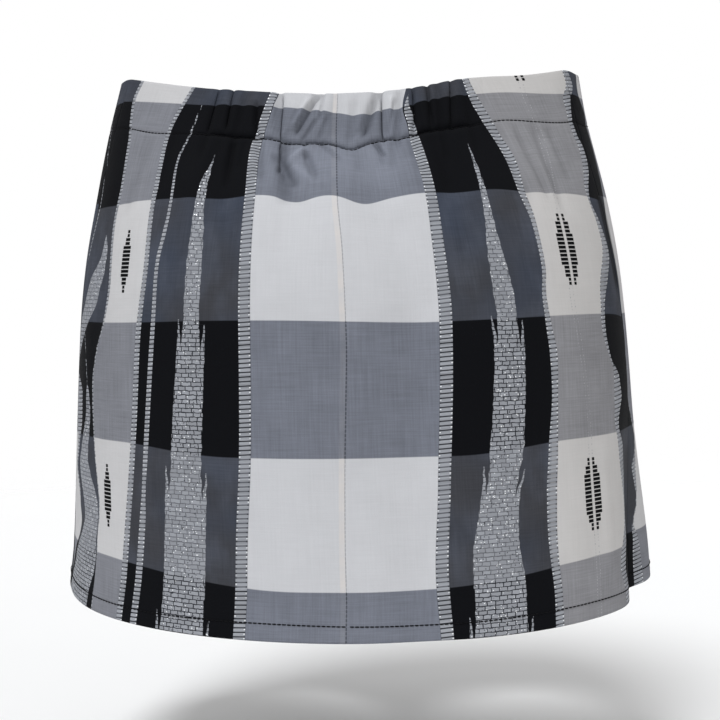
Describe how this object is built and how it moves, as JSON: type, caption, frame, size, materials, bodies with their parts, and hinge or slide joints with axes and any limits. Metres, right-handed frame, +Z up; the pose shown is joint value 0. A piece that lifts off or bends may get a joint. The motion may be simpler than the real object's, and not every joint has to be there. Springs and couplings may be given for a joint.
{
  "type": "skort",
  "caption": "Worn mini skort: full skirt with an elasticated gathered back waist over plain inner shorts, hollow and open at waist and hem.",
  "frame": {"origin": "middle of the waist opening, at the height of the waist's two sides, where the wearer holds it", "axes": "+Z up, -Y towards the gathered back that is shown, +X to the right of that view"},
  "size_m": [0.3567, 0.2644, 0.3178],
  "materials": {
    "check_cloth": "handwoven cotton check in black, grey and off-white with silver lurex stripes",
    "elastic": "flat white woven elastic",
    "shorts_cloth": "plain matte black cotton"
  },
  "bodies": {
    "root": {"back_left": "check_cloth", "back_right": "check_cloth", "front": "check_cloth", "waist_elastic": "elastic", "shorts_left": "shorts_cloth", "shorts_right": "shorts_cloth"}
  },
  "joints": []
}
